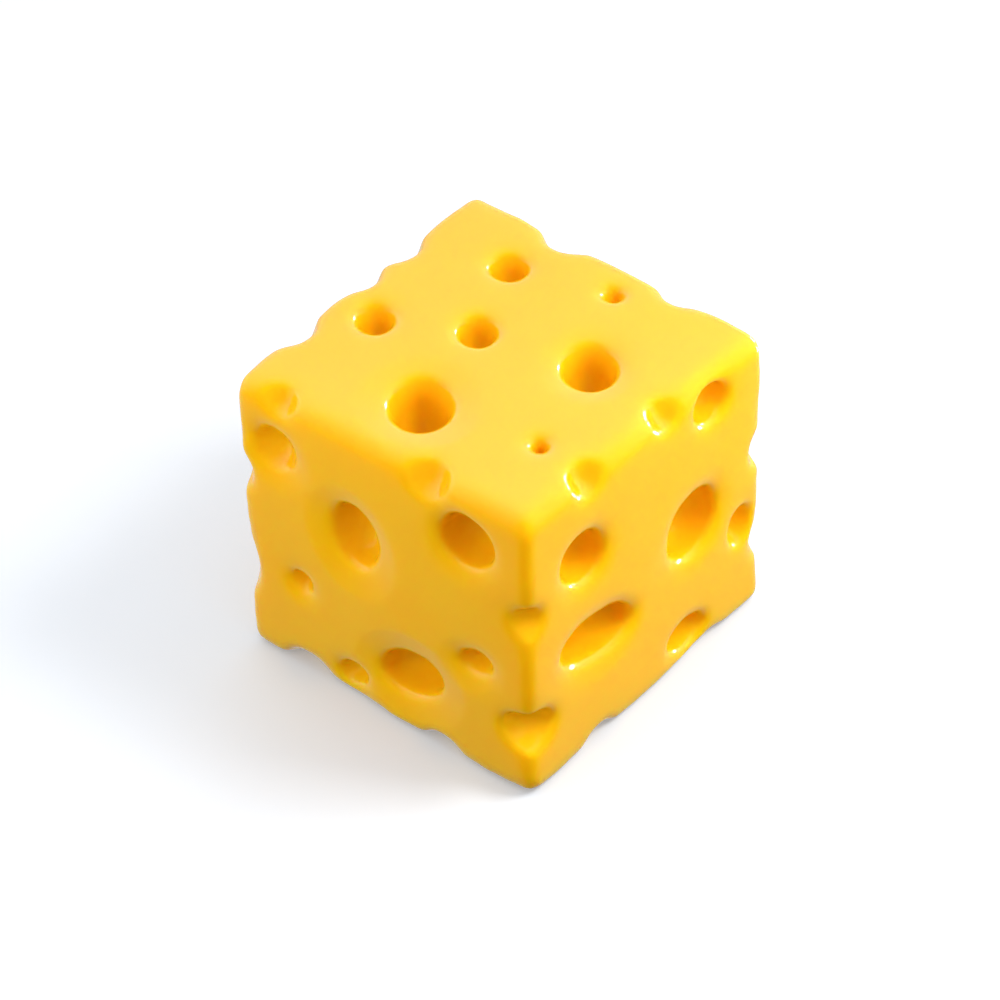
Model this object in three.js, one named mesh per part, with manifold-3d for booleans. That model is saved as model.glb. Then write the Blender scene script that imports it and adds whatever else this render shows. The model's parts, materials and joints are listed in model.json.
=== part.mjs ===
// A hand-cut cube of holey cheese, standing on one face.
// It is one solid: a block with softened edges, and the gas-bubble holes, called eyes, that open
// through its faces and nick its edges. Each eye is a bubble that the knife has cut across, so it is
// an ellipsoid whose middle lies a little way below the cut face.
// Units are millimetres. The origin is the middle of the base; +X is right, +Y is back, +Z is up.

import * as THREE from "three";
import { ConvexGeometry } from "three/addons/geometries/ConvexGeometry.js";
import { mergeVertices } from "three/addons/utils/BufferGeometryUtils.js";
import Module from "manifold-3d";

// Driving dimensions.
const SIDE = 50; // width and depth of the block, before the knife's small errors
const HEIGHT = 47.5;
const EDGE_ROUND = 1.8; // radius of the softened edges
const EDGE_STEPS = 3; // flats on each quarter turn of an edge
const HALF = SIDE / 2;

// How far the knife missed each corner of the true block, as [x, y, z].
const KNIFE_ERROR = {
  base: {
    frontLeft: [0, 0, 0],
    frontRight: [0.2, -0.5, 0],
    backLeft: [-0.2, 0.5, 0],
    backRight: [-0.2, 0.4, 0],
  },
  top: {
    frontLeft: [0.2, 0, -0.1],
    frontRight: [-0.3, 0.4, 0.5],
    backLeft: [0, 0, 0],
    backRight: [0.1, -0.3, -0.4],
  },
};

// Each face's own axes, seen from outside: across runs to the right and along runs up.
const FACES = {
  top: { middle: [0, 0, HEIGHT], across: [1, 0, 0], along: [0, 1, 0] },
  front: { middle: [0, -HALF, 0], across: [1, 0, 0], along: [0, 0, 1] },
  right: { middle: [HALF, 0, 0], across: [0, 1, 0], along: [0, 0, 1] },
  back: { middle: [0, HALF, 0], across: [-1, 0, 0], along: [0, 0, 1] },
  left: { middle: [-HALF, 0, 0], across: [0, -1, 0], along: [0, 0, 1] },
  base: { middle: [0, 0, 0], across: [1, 0, 0], along: [0, -1, 0] },
};

// The eyes in the faces: [across, along, half-length, half-breadth, depth, turn], the turn being that of
// the length from the face's across, in degrees. On the upright faces, along is the height above the base.
const FACE_EYES = {
  top: [
    [-10.9, 15.3, 2.6, 2.4, 5, -50],
    [3.7, 19.4, 1.8, 1.5, 3.8, -50],
    [-18, -4, 3, 2.4, 5.5, -50],
    [-5.6, 2.3, 3.1, 2.5, 6, -50],
    [10.5, 5.8, 4.5, 3.5, 8, -50],
    [-2.1, -13.4, 5.2, 4, 9, -50],
    [15.5, -10.7, 1.5, 1.1, 4.5, -50],
  ],
  front: [
    [-18.5, 37.5, 3.6, 3.2, 3.8, 20],
    [-5.3, 29.3, 4, 5.4, 6.5, 0],
    [14.2, 39.1, 4.9, 4.2, 8, 35],
    [-15, 15.9, 1.8, 1.8, 3.5, 0],
    [-6.6, 3.9, 2.7, 1.9, 4, 25],
    [3.7, 9.6, 6, 3.8, 8, 25],
    [15.2, 18.7, 3.1, 1.9, 5, 22],
  ],
  right: [
    [13.8, 42.2, 3.6, 2.9, 5, -20],
    [10.4, 23.4, 5.3, 5.6, 8, 0],
    [20.5, 16.2, 2.3, 3.3, 4, 0],
    [-12.8, 33.9, 5, 4, 7.5, -40],
    [-10.2, 18.3, 7.8, 3.9, 9, -15],
    [9, 4.6, 4.3, 2.5, 6, -12],
  ],
  back: [
    [16, 36, 4.6, 4.4, 7, 20],
    [-2, 38.5, 3, 2.8, 5, 0],
    [-15.5, 35, 3.8, 4.2, 6.5, -30],
    [-9, 20.5, 5.4, 5, 8.5, 35],
    [7, 22, 3.2, 4.4, 6, 0],
    [17.5, 17, 2.2, 2.2, 4, 0],
    [-19, 9.5, 2.8, 2.6, 4.5, 15],
    [2, 8.5, 4.4, 3.6, 7, -20],
    [14, 6, 2.4, 2, 4, 0],
  ],
  left: [
    [13, 35, 4.6, 4.2, 7.5, -25],
    [-4, 37, 2.4, 2.6, 4, 0],
    [-15.5, 29, 5.2, 5.4, 8, 40],
    [4.5, 23, 3.8, 3.4, 6, 15],
    [17.5, 15.5, 3, 3.2, 5, 0],
    [-8.5, 12, 4.2, 4, 7, -30],
    [7, 7, 2.4, 2, 4, 20],
    [-20.5, 10, 1.8, 2, 3.5, 0],
  ],
  base: [
    [-13, 13, 4, 4.2, 6, 30],
    [12, 14.5, 3, 2.8, 4.5, 0],
    [14, -6, 2.2, 2.4, 4, 0],
    [-9.5, -12, 3.4, 3, 5, -20],
    [7, -16, 4.4, 4, 6.5, 25],
  ],
};
const BUBBLE_SINK = 0.3; // how far down its depth the middle of a face's bubble lies

// The eyes that nick an edge: the bubble's middle [x, y, z], its radius, and how tall it is for its
// width.
const EDGE_EYES = [
  // near vertical edge
  [24.4, -24.4, 30.2, 3.5, 0.82],
  [24.2, -24.2, 11, 4.3, 0.74],
  // top edges of the right and front faces
  [24.2, -11.4, 46.9, 2.8, 1],
  [24.1, 4.6, 46.6, 2.5, 1],
  [-17.3, -24.4, 46.7, 2.6, 1],
  [7.8, -24.3, 46.6, 3.1, 1],
  // top edge of the left face
  [-26.6, 9.6, 46.6, 3.9, 1],
  [-26.4, 1.4, 46.8, 3.5, 1],
  [-26.8, -12.4, 46.8, 4.4, 1],
  // top edge of the back face
  [-8.6, 26.4, 46.8, 4.2, 1],
  [10.6, 26.4, 46.8, 3.6, 1],
  // back vertical edges
  [25.8, 26, 27.8, 4, 1],
  [25.6, 25.8, 11.2, 3.2, 1],
  [-25.6, 25.6, 34, 3.2, 1],
  [-25.6, 25.6, 15, 3.8, 1],
  // left vertical edge
  [-26, -26, 31, 3.8, 1],
  [-26, -26, 14.2, 3.6, 1.8],
  // base edges
  [-14.8, -26.2, -1.6, 5, 1],
  [9.4, -26.2, -1.8, 4.4, 1],
  [26.2, -10.4, -1.8, 4.4, 1],
  [26.2, 14.6, -1.8, 3.8, 1],
  [-8, 26.2, -1.6, 4, 1],
  [-26.2, 4, -1.6, 4, 1],
];

const SMALL_BUBBLE = 3.4; // bubbles up to this radius have fewer facets
const SMALL_SPLITS = 1; // icosahedron splits for each size of bubble
const LARGE_SPLITS = 2;
const TINY = 0.02; // facets smaller than this are merged into their neighbours

const wasm = await Module();
wasm.setup();

// A three.js geometry as a manifold-3d solid.
function solidOf(geometry) {
  const bare = new THREE.BufferGeometry().setAttribute("position", geometry.getAttribute("position"));
  if (geometry.index) bare.setIndex(geometry.index);
  const merged = mergeVertices(bare, 1e-4);
  return new wasm.Manifold(
    new wasm.Mesh({
      numProp: 3,
      vertProperties: merged.attributes.position.array,
      triVerts: new Uint32Array(merged.index.array),
    }),
  );
}

// A manifold-3d solid as a three.js geometry.
function geometryOf(solid) {
  const mesh = solid.getMesh();
  const geometry = new THREE.BufferGeometry();
  geometry.setAttribute("position", new THREE.BufferAttribute(mesh.vertProperties, 3));
  geometry.setIndex(new THREE.BufferAttribute(mesh.triVerts, 1));
  geometry.computeVertexNormals();
  return geometry;
}

// The block without its eyes: the hull of a small ball in each corner.
function makeBlock() {
  const ball = new THREE.SphereGeometry(EDGE_ROUND, 4 * EDGE_STEPS, 2 * EDGE_STEPS);
  const inset = HALF - EDGE_ROUND;
  const corners = { frontLeft: [-1, -1], frontRight: [1, -1], backLeft: [-1, 1], backRight: [1, 1] };
  const levels = { base: EDGE_ROUND, top: HEIGHT - EDGE_ROUND };
  const points = [];
  for (const [level, z] of Object.entries(levels)) {
    for (const [corner, [x, y]] of Object.entries(corners)) {
      const middle = new THREE.Vector3(x * inset, y * inset, z);
      middle.add(new THREE.Vector3(...KNIFE_ERROR[level][corner]));
      const positions = ball.getAttribute("position");
      for (let i = 0; i < positions.count; i++) {
        points.push(new THREE.Vector3().fromBufferAttribute(positions, i).add(middle));
      }
    }
  }
  return solidOf(new ConvexGeometry(points));
}

// An ellipsoid of the given half-sizes, turned and placed by a matrix.
function makeBubble(halfSizes, place) {
  const isSmall = Math.max(...halfSizes) <= SMALL_BUBBLE;
  const bubble = new THREE.IcosahedronGeometry(1, isSmall ? SMALL_SPLITS : LARGE_SPLITS);
  bubble.scale(...halfSizes).applyMatrix4(place);
  return solidOf(bubble);
}

// The bubble behind an eye in a face.
function makeFaceBubble(face, [across, along, halfLength, halfBreadth, depth, turn]) {
  const axisAcross = new THREE.Vector3(...face.across);
  const axisAlong = new THREE.Vector3(...face.along);
  const outwards = new THREE.Vector3().crossVectors(axisAcross, axisAlong);
  const sunk = BUBBLE_SINK * depth;
  const halfDepth = depth - sunk;
  const mouthShare = Math.sqrt(1 - (sunk / halfDepth) ** 2);
  const middle = new THREE.Vector3(...face.middle)
    .addScaledVector(axisAcross, across)
    .addScaledVector(axisAlong, along)
    .addScaledVector(outwards, -sunk);
  const place = new THREE.Matrix4()
    .makeBasis(axisAcross, axisAlong, outwards)
    .multiply(new THREE.Matrix4().makeRotationZ(THREE.MathUtils.degToRad(turn)))
    .setPosition(middle);
  return makeBubble([halfLength / mouthShare, halfBreadth / mouthShare, halfDepth], place);
}

function makeEdgeBubble([x, y, z, radius, tallness]) {
  const place = new THREE.Matrix4().makeTranslation(x, y, z);
  return makeBubble([radius, radius, radius * tallness], place);
}

function makeCheese() {
  const bubbles = EDGE_EYES.map(makeEdgeBubble);
  for (const [name, eyes] of Object.entries(FACE_EYES)) {
    bubbles.push(...eyes.map((eye) => makeFaceBubble(FACES[name], eye)));
  }
  const cheese = bubbles.reduce((left, bubble) => left.subtract(bubble), makeBlock()).simplify(TINY);
  const material = new THREE.MeshStandardMaterial({ color: 0xf6c445, roughness: 0.3, metalness: 0 });
  const mesh = new THREE.Mesh(geometryOf(cheese), material);
  mesh.name = "cheese_cube";
  return mesh;
}

const group = new THREE.Group();
group.add(makeCheese());

export default group;
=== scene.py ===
"""A hand-cut cube of holey cheese, standing on a white studio floor.

Laid out as an add-on: one operator makes the cheese, one makes the stage, and main() calls both.
Lengths in the tables are millimetres, as a cheese would be measured; Blender's are metres.
"""

import json
import math

import bpy
from mathutils import Matrix, Vector

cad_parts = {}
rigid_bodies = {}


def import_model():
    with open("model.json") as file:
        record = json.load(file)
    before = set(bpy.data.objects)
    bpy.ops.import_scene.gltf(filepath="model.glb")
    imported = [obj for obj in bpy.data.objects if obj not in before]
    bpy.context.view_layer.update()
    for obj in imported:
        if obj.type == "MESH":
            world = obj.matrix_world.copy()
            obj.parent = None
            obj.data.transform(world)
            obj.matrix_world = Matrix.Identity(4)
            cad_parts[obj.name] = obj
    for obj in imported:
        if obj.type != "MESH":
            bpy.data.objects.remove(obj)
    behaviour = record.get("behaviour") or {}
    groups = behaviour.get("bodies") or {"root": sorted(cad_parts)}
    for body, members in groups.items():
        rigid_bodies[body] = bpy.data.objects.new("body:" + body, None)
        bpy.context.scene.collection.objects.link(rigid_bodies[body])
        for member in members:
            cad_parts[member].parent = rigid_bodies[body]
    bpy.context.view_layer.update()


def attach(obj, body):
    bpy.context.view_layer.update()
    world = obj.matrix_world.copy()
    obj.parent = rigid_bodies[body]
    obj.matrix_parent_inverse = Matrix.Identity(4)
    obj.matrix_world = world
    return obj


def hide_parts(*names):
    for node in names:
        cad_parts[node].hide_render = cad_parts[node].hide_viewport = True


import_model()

bl_info = {
    "name": "Cheese Cube",
    "version": (1, 0, 0),
    "blender": (4, 5, 0),
    "location": "View3D > Sidebar > Cheese",
    "description": "A hand-cut cube of holey cheese and the white studio floor it stands on",
    "category": "Add Mesh",
}

NODE = "cheese_cube"
MM = 0.001

# The block before its eyes are opened. The knife missed each corner of the true block by a little.
SIDE = 50.0
HEIGHT = 47.5
HALF = SIDE / 2
KNIFE_ERROR = {  # corner (left or right, front or back, base or top) to its miss (x, y, z)
    (-1, -1, 0): (0.0, 0.0, 0.0),
    (1, -1, 0): (0.2, -0.5, 0.0),
    (-1, 1, 0): (-0.2, 0.5, 0.0),
    (1, 1, 0): (-0.2, 0.4, 0.0),
    (-1, -1, 1): (0.2, 0.0, -0.1),
    (1, -1, 1): (-0.3, 0.4, 0.5),
    (-1, 1, 1): (0.0, 0.0, 0.0),
    (1, 1, 1): (0.1, -0.3, -0.4),
}

# Each face's own axes, seen from outside: the face's middle, across to the right, and along upwards.
FACES = {
    "top": ((0, 0, HEIGHT), (1, 0, 0), (0, 1, 0)),
    "front": ((0, -HALF, 0), (1, 0, 0), (0, 0, 1)),
    "right": ((HALF, 0, 0), (0, 1, 0), (0, 0, 1)),
    "back": ((0, HALF, 0), (-1, 0, 0), (0, 0, 1)),
    "left": ((-HALF, 0, 0), (0, -1, 0), (0, 0, 1)),
    "base": ((0, 0, 0), (1, 0, 0), (0, -1, 0)),
}

# The eyes in the faces: the middle across and along, half-length, half-breadth, depth, the width of
# the flared lip, and the turn of the length from the face's across, in degrees. On the upright faces,
# along is the height above the base.
FACE_EYES = {
    "top": (
        (-10.9, 15.3, 2.0, 1.8, 5.0, 1.8, -50),
        (3.7, 19.4, 1.4, 1.1, 3.8, 1.1, -50),
        (-18.0, -4.0, 2.4, 1.8, 5.5, 1.8, -50),
        (-5.6, 2.3, 2.5, 1.9, 6.0, 1.8, -50),
        (10.5, 5.8, 3.6, 2.6, 8.0, 2.6, -50),
        (-2.1, -13.4, 4.2, 3.0, 9.0, 2.9, -50),
        (15.5, -10.7, 1.3, 0.9, 4.5, 0.6, -50),
    ),
    "front": (
        (-18.5, 37.5, 2.8, 2.5, 2.6, 2.0, 20),
        (-5.3, 29.3, 3.2, 4.6, 6.5, 2.4, 0),
        (14.2, 39.1, 4.2, 3.5, 8.0, 2.0, 35),
        (-15.0, 15.9, 1.5, 1.5, 3.5, 0.9, 0),
        (-6.6, 3.9, 2.4, 1.5, 4.0, 1.0, 25),
        (3.7, 9.6, 5.2, 3.0, 8.0, 2.2, 25),
        (15.2, 18.7, 2.6, 1.4, 5.0, 1.3, 22),
    ),
    "right": (
        (13.8, 42.2, 3.2, 2.5, 5.0, 1.2, -20),
        (10.4, 23.4, 4.5, 4.8, 8.0, 2.2, 0),
        (20.5, 16.2, 1.9, 2.9, 4.0, 1.2, 0),
        (-12.8, 33.9, 4.2, 3.2, 7.5, 2.2, -40),
        (-10.2, 18.3, 7.0, 3.1, 9.0, 2.2, -15),
        (9.0, 4.6, 3.8, 2.0, 6.0, 1.4, -12),
    ),
    "back": (
        (16.0, 36.0, 4.1, 3.9, 7.0, 1.8, 20),
        (-2.0, 38.5, 2.6, 2.4, 5.0, 1.2, 0),
        (-15.5, 35.0, 3.4, 3.8, 6.5, 1.5, -30),
        (-9.0, 20.5, 4.8, 4.4, 8.5, 2.0, 35),
        (7.0, 22.0, 2.8, 4.0, 6.0, 1.5, 0),
        (17.5, 17.0, 2.0, 2.0, 4.0, 0.9, 0),
        (-19.0, 9.5, 2.5, 2.3, 4.5, 1.0, 15),
        (2.0, 8.5, 4.0, 3.2, 7.0, 1.5, -20),
        (14.0, 6.0, 2.2, 1.8, 4.0, 0.9, 0),
    ),
    "left": (
        (13.0, 35.0, 4.1, 3.7, 7.5, 1.8, -25),
        (-4.0, 37.0, 2.1, 2.3, 4.0, 1.0, 0),
        (-15.5, 29.0, 4.7, 4.9, 8.0, 1.9, 40),
        (4.5, 23.0, 3.4, 3.0, 6.0, 1.5, 15),
        (17.5, 15.5, 2.7, 2.9, 5.0, 1.1, 0),
        (-8.5, 12.0, 3.8, 3.6, 7.0, 1.5, -30),
        (7.0, 7.0, 2.2, 1.8, 4.0, 0.9, 20),
        (-20.5, 10.0, 1.6, 1.8, 3.5, 0.6, 0),
    ),
    "base": (
        (-13.0, 13.0, 3.6, 3.9, 6.0, 1.2, 30),
        (12.0, 14.5, 2.7, 2.5, 4.5, 1.0, 0),
        (14.0, -6.0, 2.0, 2.2, 4.0, 0.8, 0),
        (-9.5, -12.0, 3.1, 2.7, 5.0, 1.0, -20),
        (7.0, -16.0, 4.1, 3.6, 6.5, 1.2, 25),
    ),
}
BUBBLE_SINK = 0.3  # how far down its depth the middle of a face's bubble lies
# A flared lip is three shallow bowls: how far each spreads past the mouth, and how deep it goes, as
# shares of the lip's width.
LIP_BOWLS = ((1.9, 0.38), (0.85, 0.95), (0.32, 1.9))

# The eyes that nick an edge: the bubble's middle (x, y, z), its radius and its tallness for its width.
EDGE_EYES = (
    # near vertical edge
    (24.6, -24.6, 30.3, 3.0, 0.85),
    (24.2, -24.2, 11.0, 4.3, 0.74),
    # top edges of the right and front faces
    (24.2, -11.4, 46.9, 2.8, 1.0),
    (24.1, 4.6, 46.6, 2.5, 1.0),
    (-17.3, -24.4, 46.7, 2.6, 1.0),
    (7.8, -24.3, 46.6, 3.1, 1.0),
    # top edge of the left face
    (-26.6, 9.6, 46.6, 3.9, 1.0),
    (-26.4, 1.4, 46.8, 3.5, 1.0),
    (-26.8, -12.4, 46.8, 4.4, 1.0),
    # top edge of the back face
    (-8.6, 26.4, 46.8, 4.2, 1.0),
    (10.6, 26.4, 46.8, 3.6, 1.0),
    # back vertical edges
    (25.8, 26.0, 27.8, 4.0, 1.0),
    (25.6, 25.8, 11.2, 3.2, 1.0),
    (-25.6, 25.6, 34.0, 3.2, 1.0),
    (-25.6, 25.6, 15.0, 3.8, 1.0),
    # left vertical edge
    (-26.0, -26.0, 31.0, 3.8, 1.0),
    (-26.0, -26.0, 14.2, 3.6, 1.8),
    # base edges
    (-14.8, -26.2, -1.6, 5.0, 1.0),
    (9.4, -26.2, -1.8, 4.4, 1.0),
    (26.2, -10.4, -1.8, 4.4, 1.0),
    (26.2, 14.6, -1.8, 3.8, 1.0),
    (-8.0, 26.2, -1.6, 4.0, 1.0),
    (-26.2, 4.0, -1.6, 4.0, 1.0),
)

WORN_EDGES = ((0, -HALF, HEIGHT), (HALF, 0, HEIGHT))  # middles of the most worn edges, front and right
NEAR = 2.0  # an edge within this of one of those middles is a worn one
EDGE_SEGMENTS = 8
BALL_SEGMENTS = 48
BALL_RINGS = 24
SHARP_RIM = 18  # degrees between the faces of an edge that counts as a rim
RIM_PASSES = ((9, 16), (8, 24), (6, 32))  # rings of vertices round the rims, and how often to smooth them
LAST_SMOOTHING = 10  # how often to smooth the whole surface after that
SWELL = 11.0  # size of the swells that the knife leaves in a face
KEPT_FACETS = 0.5  # share of the mesh's facets that is kept

# Sizes of the cheese's noises: its patches of colour, and the crumb that roughens its shine.
PATCH_SIZE = 14.0
CRUMB_SIZE = 2.5
CRUMB_HEIGHT = 0.08
GLOW_DEPTH = 3.5  # how deep light gets into the cheese before it comes out again

# The lamps: direction from the cube's middle, distance, size and power, in metres and watts.
KEY = ((0.84, 0.54, 1.25), 0.35, 0.12, 0.6)
CARDS = {
    "front_card": ((-0.22, -0.92, 0.36), 0.145, 0.08, 0.088),
    "right_card": ((0.9, 0.3, 0.36), 0.145, 0.08, 0.12),
}
SPARKLES = (
    ((0.14, 0.98, 0.06), 1.0, 0.12, 3.5),
    ((0.0, 0.97, 0.22), 1.0, 0.12, 3.5),
    ((0.41, 0.89, -0.12), 0.14, 0.014, 0.08),
)

# The room's brightness. Each ramp runs over how far a direction points to the camera: where it starts
# and ends, and the brightness at each.
TO_CAMERA = (0.65, -0.76, 0)
HORIZON = (-0.2, 0.15, 0.0, 1.0)  # a ramp over height, from the ground to the walls
WALLS = (-1.0, 1.0, 1.35, 0.72)
GROUND = 0.25
SEEN_WALLS = (-0.4, 0.5, 1.9, 0.0)  # in reflections
SEEN_GROUND = (-0.7, 0.5, 0.95, 0.0)

AIM_HEIGHT = 24.0  # the camera looks at this height above the floor
VIEW_SHIFT = (-0.42, -1.72)  # and then moves this far right and up
SENSOR_WIDTH = 36
FLOOR_SIZE = 8  # metres


def srgb(hex_colour):
    """An sRGB hex colour as linear red, green, blue and alpha."""
    channels = [int(hex_colour[i : i + 2], 16) / 255 for i in (1, 3, 5)]
    linear = [c / 12.92 if c <= 0.04045 else ((c + 0.055) / 1.055) ** 2.4 for c in channels]
    return (*linear, 1.0)


class CheeseSettings(bpy.types.PropertyGroup):
    """Sizes and colours of the cheese."""

    worn_round: bpy.props.FloatProperty(
        name="Worn Rounding", description="Radius of the most worn edges", default=3.0 * MM, unit="LENGTH"
    )
    edge_round: bpy.props.FloatProperty(
        name="Edge Rounding", description="Radius of the other edges", default=1.6 * MM, unit="LENGTH"
    )
    grain: bpy.props.FloatProperty(
        name="Mesh Grain", description="Size of a facet of the mesh", default=0.34 * MM, unit="LENGTH"
    )
    waviness: bpy.props.FloatProperty(
        name="Waviness", description="How far the cut faces sink and swell", default=0.12 * MM, unit="LENGTH"
    )
    paste: bpy.props.FloatVectorProperty(
        name="Paste", description="Colour of the cheese", default=srgb("#FAC112"), size=4, subtype="COLOR"
    )
    paste_deep: bpy.props.FloatVectorProperty(
        name="Deep Paste", description="Colour of its deeper patches", default=srgb("#F8B70A"), size=4,
        subtype="COLOR",
    )


class StudioSettings(bpy.types.PropertyGroup):
    """The camera: where it stands, its roll and its lens."""

    azimuth: bpy.props.FloatProperty(
        name="Azimuth", description="Camera's turn round the cube", default=math.radians(40.61),
        subtype="ANGLE",
    )
    elevation: bpy.props.FloatProperty(
        name="Elevation", description="Camera's height above the horizon", default=math.radians(41.57),
        subtype="ANGLE",
    )
    roll: bpy.props.FloatProperty(
        name="Roll", description="Camera's tilt about its view", default=math.radians(-1.68), subtype="ANGLE"
    )
    distance: bpy.props.FloatProperty(
        name="Distance", description="Camera to the cube's middle", default=571.5 * MM, unit="LENGTH"
    )
    lens: bpy.props.FloatProperty(name="Lens", description="Focal length in millimetres", default=153.0)


# ---------------------------------------------------------------- modelling tools


def deselect_all():
    """Leaves edit mode and selects nothing."""
    if bpy.context.object and bpy.context.object.mode != "OBJECT":
        bpy.ops.object.mode_set(mode="OBJECT")
    bpy.ops.object.select_all(action="DESELECT")


def pick(piece):
    """Makes piece the only selected object and the active one."""
    deselect_all()
    piece.select_set(True)
    bpy.context.view_layer.objects.active = piece


def apply_modifier(piece, kind, **settings):
    """Adds a modifier with its settings to the piece and applies it."""
    pick(piece)
    modifier = piece.modifiers.new(kind.title(), kind)
    for name, value in settings.items():
        setattr(modifier, name, value)
    bpy.ops.object.modifier_apply(modifier=modifier.name)


def add_bubble(half_sizes, place):
    """Adds an ellipsoid with half-sizes in millimetres, turned and placed by a matrix."""
    bpy.ops.mesh.primitive_uv_sphere_add(
        segments=BALL_SEGMENTS,
        ring_count=BALL_RINGS,
        radius=1,
        location=place.translation,
        rotation=place.to_euler(),
        scale=[size * MM for size in half_sizes],
    )
    return bpy.context.object


def join(pieces):
    """Joins several objects into one."""
    deselect_all()
    for piece in pieces:
        piece.select_set(True)
    bpy.context.view_layer.objects.active = pieces[0]
    bpy.ops.object.join()
    return bpy.context.object


def cut_away(piece, cutter):
    """Takes the cutter's shape out of the piece, and deletes the cutter."""
    apply_modifier(piece, "BOOLEAN", operation="DIFFERENCE", object=cutter, solver="MANIFOLD")
    pick(cutter)
    bpy.ops.object.delete()


# ---------------------------------------------------------------- the cheese


def edge_middle(block, edge):
    """The point half-way along an edge of the block."""
    first, second = (block.data.vertices[index].co for index in edge.vertices)
    return (first + second) / 2


def weigh_edge(block, number, weight):
    """Gives one edge of the block its share of the rounding."""
    pick(block)
    bpy.ops.object.mode_set(mode="EDIT")
    bpy.ops.mesh.select_mode(type="EDGE")
    bpy.ops.mesh.select_all(action="DESELECT")
    bpy.ops.object.mode_set(mode="OBJECT")
    block.data.edges[number].select = True
    bpy.ops.object.mode_set(mode="EDIT")
    bpy.ops.transform.edge_bevelweight(value=weight)
    bpy.ops.object.mode_set(mode="OBJECT")


def add_block(settings):
    """The cut block with softened edges and no eyes."""
    deselect_all()
    bpy.ops.mesh.primitive_cube_add(
        size=1, location=(0, 0, HEIGHT / 2 * MM), scale=(SIDE * MM, SIDE * MM, HEIGHT * MM)
    )
    block = bpy.context.object
    block.name = block.data.name = "cheese"
    bpy.ops.object.transform_apply()
    for (x, y, level), miss in KNIFE_ERROR.items():
        corner = Vector((x * HALF, y * HALF, level * HEIGHT)) * MM
        bpy.ops.object.mode_set(mode="EDIT")
        bpy.ops.mesh.select_all(action="DESELECT")
        bpy.ops.object.mode_set(mode="OBJECT")
        nearest = min(block.data.vertices, key=lambda vertex: (vertex.co - corner).length)
        nearest.select = True
        bpy.ops.object.mode_set(mode="EDIT")
        bpy.ops.transform.translate(value=Vector(miss) * MM)
        bpy.ops.object.mode_set(mode="OBJECT")
    middles = [edge_middle(block, edge) for edge in block.data.edges]
    for number, middle in enumerate(middles):
        is_worn = min((middle - Vector(worn) * MM).length for worn in WORN_EDGES) < NEAR * MM
        weigh_edge(block, number, 1.0 if is_worn else settings.edge_round / settings.worn_round)
    apply_modifier(block, "BEVEL", width=settings.worn_round, segments=EDGE_SEGMENTS, limit_method="WEIGHT")
    return block


def face_place(face, across, along, sunk, turn):
    """The matrix of a bubble, turned about the face's normal, with its middle sunk below the face."""
    middle, axis_across, axis_along = (Vector(v) for v in FACES[face])
    outwards = axis_across.cross(axis_along)
    axes = Matrix((axis_across, axis_along, outwards)).transposed().to_4x4()
    spot = middle + axis_across * across + axis_along * along - outwards * sunk
    return Matrix.Translation(spot * MM) @ axes @ Matrix.Rotation(math.radians(turn), 4, "Z")


def add_face_bubbles():
    """The bubbles behind the eyes of the faces."""
    bubbles = []
    for face, eyes in FACE_EYES.items():
        for across, along, half_length, half_breadth, depth, _, turn in eyes:
            sunk = BUBBLE_SINK * depth
            half_depth = depth - sunk
            mouth_share = math.sqrt(1 - (sunk / half_depth) ** 2)
            half_sizes = (half_length / mouth_share, half_breadth / mouth_share, half_depth)
            bubbles.append(add_bubble(half_sizes, face_place(face, across, along, sunk, turn)))
    return join(bubbles)


def add_lips():
    """Wide shallow balls that flare the mouths of the eyes."""
    lips = []
    for face, eyes in FACE_EYES.items():
        for across, along, half_length, half_breadth, _, lip, turn in eyes:
            for spread, depth in LIP_BOWLS:
                length = half_length + spread * lip
                breadth = half_breadth + spread * lip
                fall = depth * lip
                reach = (length * breadth + fall**2) / (2 * fall)
                stretch = math.sqrt(length / breadth)
                half_sizes = (reach * stretch, reach / stretch, reach)
                lips.append(add_bubble(half_sizes, face_place(face, across, along, fall - reach, turn)))
    return lips


def add_edge_bubbles():
    """The bubbles that nick the edges."""
    bubbles = []
    for x, y, z, radius, tallness in EDGE_EYES:
        place = Matrix.Translation(Vector((x, y, z)) * MM)
        bubbles.append(add_bubble((radius, radius, radius * tallness), place))
    return join(bubbles)


def soften_rims(cheese):
    """Rounds the rims that the knife left round the eyes, then softens the whole surface a little."""
    pick(cheese)
    bpy.ops.object.mode_set(mode="EDIT")
    for rings, repeats in RIM_PASSES:
        bpy.ops.mesh.select_mode(type="EDGE")
        bpy.ops.mesh.select_all(action="DESELECT")
        bpy.ops.mesh.edges_select_sharp(sharpness=math.radians(SHARP_RIM))
        bpy.ops.mesh.select_mode(type="VERT")
        for _ in range(rings):
            bpy.ops.mesh.select_more()
        bpy.ops.mesh.vertices_smooth(factor=0.5, repeat=repeats)
    bpy.ops.mesh.select_all(action="SELECT")
    bpy.ops.mesh.vertices_smooth(factor=0.5, repeat=LAST_SMOOTHING)
    bpy.ops.object.mode_set(mode="OBJECT")


def make_cheese(settings):
    """The whole piece of cheese."""
    cheese = add_block(settings)
    cut_away(cheese, add_face_bubbles())
    for lip in add_lips():
        cut_away(cheese, lip)
    cut_away(cheese, add_edge_bubbles())
    apply_modifier(cheese, "REMESH", mode="VOXEL", voxel_size=settings.grain)
    soften_rims(cheese)
    swells = bpy.data.textures.new("swells", "CLOUDS")
    swells.noise_scale = SWELL * MM
    apply_modifier(
        cheese, "DISPLACE", texture=swells, texture_coords="LOCAL", strength=settings.waviness, mid_level=1.0
    )
    apply_modifier(cheese, "DECIMATE", ratio=KEPT_FACETS)
    pick(cheese)
    bpy.ops.object.shade_smooth()
    return cheese


# ---------------------------------------------------------------- materials


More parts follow.
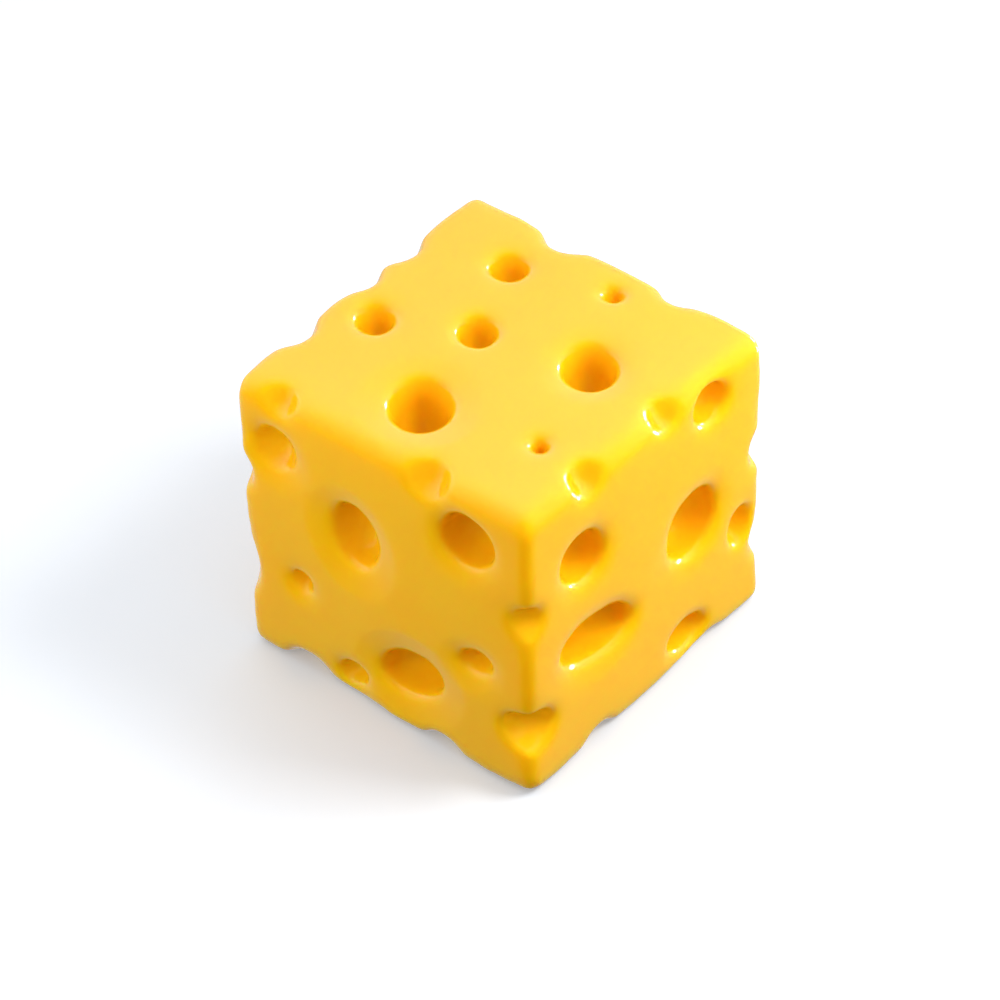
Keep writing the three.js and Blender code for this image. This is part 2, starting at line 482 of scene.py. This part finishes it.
def add_node(owner, kind, links=None, **settings):
    """Adds a node to a material or a world, with its settings, input values and links."""
    node = owner.node_tree.nodes.new(kind)
    for name, value in settings.items():
        setattr(node, name, value)
    for name, value in (links or {}).items():
        if isinstance(value, bpy.types.NodeSocket):
            owner.node_tree.links.new(value, node.inputs[name])
        else:
            node.inputs[name].default_value = value
    return node


def new_material(name):
    """A material with no nodes yet."""
    material = bpy.data.materials.new(name)
    material.use_nodes = True
    material.node_tree.nodes.clear()
    return material


def swiss_cheese_paste(settings):
    """Firm cheese cut with a wet knife: smooth, moist and slightly translucent."""
    material = new_material("swiss_cheese_paste")
    place = add_node(material, "ShaderNodeTexCoord").outputs["Object"]
    patches = add_node(
        material, "ShaderNodeTexNoise", {"Vector": place, "Scale": 1 / (PATCH_SIZE * MM), "Detail": 3.0}
    )
    colour = add_node(
        material,
        "ShaderNodeMix",
        {"Factor": patches.outputs["Fac"], "A": settings.paste, "B": settings.paste_deep},
        data_type="RGBA",
    )
    sheen = add_node(
        material, "ShaderNodeMapRange", {"Value": patches.outputs["Fac"], "To Min": 0.1, "To Max": 0.2}
    )
    crumb = add_node(
        material, "ShaderNodeTexNoise", {"Vector": place, "Scale": 1 / (CRUMB_SIZE * MM), "Detail": 2.0}
    )
    bump = add_node(
        material,
        "ShaderNodeBump",
        {"Height": crumb.outputs["Fac"], "Strength": 0.25, "Distance": CRUMB_HEIGHT * MM},
    )
    shader = add_node(
        material,
        "ShaderNodeBsdfPrincipled",
        {
            "Base Color": colour.outputs["Result"],
            "Roughness": sheen.outputs["Result"],
            "Normal": bump.outputs["Normal"],
            "IOR": 1.5,
            "Subsurface Weight": 1.0,
            "Subsurface Radius": (1.0, 0.55, 0.12),
            "Subsurface Scale": GLOW_DEPTH * MM,
        },
    )
    add_node(material, "ShaderNodeOutputMaterial", {"Surface": shader.outputs["BSDF"]})
    return material


def white_paper():
    """Matt white paper: it spreads light, hardly shines, and has a painted faint blue glow."""
    material = new_material("white_paper")
    shader = add_node(
        material,
        "ShaderNodeBsdfPrincipled",
        {
            "Base Color": srgb("#ECEFF3"),
            "Roughness": 0.9,
            "Specular IOR Level": 0.1,
            # Painted glow: the paper gives off faint blue light of its own, no lamp, which lightens the
            # cube's shadow on it and cools its warm tint.
            "Emission Color": srgb("#CCDDF2"),
            "Emission Strength": 0.27,
        },
    )
    add_node(material, "ShaderNodeOutputMaterial", {"Surface": shader.outputs["BSDF"]})
    return material


# ---------------------------------------------------------------- the stage


def add_softbox(name, direction, distance, size, power):
    """A square lamp that looks at the cube from a direction, with its size and power."""
    deselect_all()
    target = Vector((0, 0, HEIGHT / 2 * MM))
    towards = Vector(direction).normalized()
    bpy.ops.object.light_add(
        type="AREA",
        location=target + towards * distance,
        rotation=towards.to_track_quat("Z", "Y").to_euler(),
    )
    lamp = bpy.context.object
    lamp.name = name
    lamp.data.shape = "SQUARE"
    lamp.data.size = size
    lamp.data.energy = power
    return lamp


def add_floor():
    """The sheet of paper under the cube. It shows, and takes the shadow, but doesn't light the cube."""
    deselect_all()
    bpy.ops.mesh.primitive_plane_add(size=FLOOR_SIZE)
    floor = bpy.context.object
    floor.name = "paper_floor"
    floor.data.materials.append(white_paper())
    floor.visible_glossy = False
    floor.visible_diffuse = False
    return floor


def add_camera(settings):
    """The camera, which looks down at the near edge of the cube."""
    azimuth, elevation, roll = settings.azimuth, settings.elevation, settings.roll
    back = Vector(
        (
            math.sin(azimuth) * math.cos(elevation),
            -math.cos(azimuth) * math.cos(elevation),
            math.sin(elevation),
        )
    )
    level_right = Vector((math.cos(azimuth), math.sin(azimuth), 0))
    level_up = back.cross(level_right)
    right = math.cos(roll) * level_right + math.sin(roll) * level_up
    up = back.cross(right)
    offset = right * VIEW_SHIFT[0] * MM + up * VIEW_SHIFT[1] * MM
    middle = Vector((0, 0, AIM_HEIGHT * MM))
    bpy.ops.object.camera_add(
        location=middle + back * settings.distance + offset,
        rotation=Matrix((right, up, back)).transposed().to_euler(),
    )
    camera = bpy.context.object
    camera.name = "studio_camera"
    camera.data.lens = settings.lens
    camera.data.sensor_width = SENSOR_WIDTH
    bpy.context.scene.camera = camera
    return camera


def ramp(owner, value, start, end, at_start, at_end):
    """A value that runs from at_start to at_end while another runs from start to end."""
    links = {"Value": value, "From Min": start, "From Max": end, "To Min": at_start, "To Max": at_end}
    return add_node(owner, "ShaderNodeMapRange", links).outputs["Result"]


def light_room():
    """A white room, bright behind the cube and dim on the camera's side, more so in its reflections."""
    world = bpy.data.worlds.new("white_room")
    bpy.context.scene.world = world
    world.use_nodes = True
    world.node_tree.nodes.clear()
    direction = add_node(world, "ShaderNodeTexCoord").outputs["Generated"]
    height = add_node(world, "ShaderNodeSeparateXYZ", {"Vector": direction}).outputs["Z"]
    to_camera = add_node(
        world, "ShaderNodeVectorMath", {0: direction, 1: TO_CAMERA}, operation="DOT_PRODUCT"
    ).outputs["Value"]
    is_reflection = add_node(world, "ShaderNodeLightPath").outputs["Is Glossy Ray"]
    above = ramp(world, height, *HORIZON)
    walls = ramp(world, to_camera, *WALLS)
    walls = add_node(
        world, "ShaderNodeMix", {"Factor": above, "A": GROUND, "B": walls}, data_type="FLOAT"
    ).outputs["Result"]
    seen_walls = ramp(world, to_camera, *SEEN_WALLS)
    seen_ground = ramp(world, to_camera, *SEEN_GROUND)
    seen_room = add_node(
        world, "ShaderNodeMix", {"Factor": above, "A": seen_ground, "B": seen_walls}, data_type="FLOAT"
    ).outputs["Result"]
    strength = add_node(
        world, "ShaderNodeMix", {"Factor": is_reflection, "A": walls, "B": seen_room}, data_type="FLOAT"
    ).outputs["Result"]
    background = add_node(world, "ShaderNodeBackground", {"Strength": strength})
    add_node(world, "ShaderNodeOutputWorld", {"Surface": background.outputs["Background"]})


# ---------------------------------------------------------------- the add-on


class CHEESE_OT_cube(bpy.types.Operator):
    """Model the cube of cheese in the place of its CAD solid."""

    bl_idname = "cheese.cube"
    bl_label = "Cheese Cube"

    def execute(self, context):
        settings = context.scene.cheese
        cheese = make_cheese(settings)
        cheese.data.materials.clear()
        cheese.data.materials.append(swiss_cheese_paste(settings))
        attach(cheese, "root")
        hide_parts(NODE)
        return {"FINISHED"}


class CHEESE_OT_studio(bpy.types.Operator):
    """Add the floor, the lights and the camera."""

    bl_idname = "cheese.studio"
    bl_label = "Studio"

    def execute(self, context):
        floor = add_floor()
        key = add_softbox("key_softbox", *KEY)
        cards = [add_softbox(name, *card) for name, card in CARDS.items()]
        light_room()
        key.visible_glossy = False
        cheese_only = bpy.data.collections.new("cheese_only")
        cheese_only.objects.link(bpy.data.objects["cheese"])
        for card in cards:
            card.visible_glossy = False
            card.visible_camera = False
            card.light_linking.receiver_collection = cheese_only
        sparkles = [add_softbox("sparkle_lamp", *sparkle) for sparkle in SPARKLES]
        for lamp in sparkles:
            lamp.visible_diffuse = False
            lamp.visible_camera = False
        camera = add_camera(context.scene.cheese_studio)
        context.scene.view_settings.view_transform = "Standard"
        return {"FINISHED"}


class CHEESE_PT_panel(bpy.types.Panel):
    """Lists the operators and their settings."""

    bl_label = "Cheese Cube"
    bl_space_type = "VIEW_3D"
    bl_region_type = "UI"
    bl_category = "Cheese"

    def draw(self, context):
        layout = self.layout
        for settings, operator in (
            (context.scene.cheese, CHEESE_OT_cube),
            (context.scene.cheese_studio, CHEESE_OT_studio),
        ):
            box = layout.box()
            for name in settings.bl_rna.properties.keys():
                if name not in ("rna_type", "name"):
                    box.prop(settings, name)
            box.operator(operator.bl_idname)


CLASSES = (CheeseSettings, StudioSettings, CHEESE_OT_cube, CHEESE_OT_studio, CHEESE_PT_panel)


def register():
    for cls in CLASSES:
        bpy.utils.register_class(cls)
    bpy.types.Scene.cheese = bpy.props.PointerProperty(type=CheeseSettings)
    bpy.types.Scene.cheese_studio = bpy.props.PointerProperty(type=StudioSettings)


def unregister():
    del bpy.types.Scene.cheese_studio
    del bpy.types.Scene.cheese
    for cls in reversed(CLASSES):
        bpy.utils.unregister_class(cls)


def main():
    register()
    bpy.ops.cheese.cube()
    bpy.ops.cheese.studio()


if __name__ == "__main__":
    main()
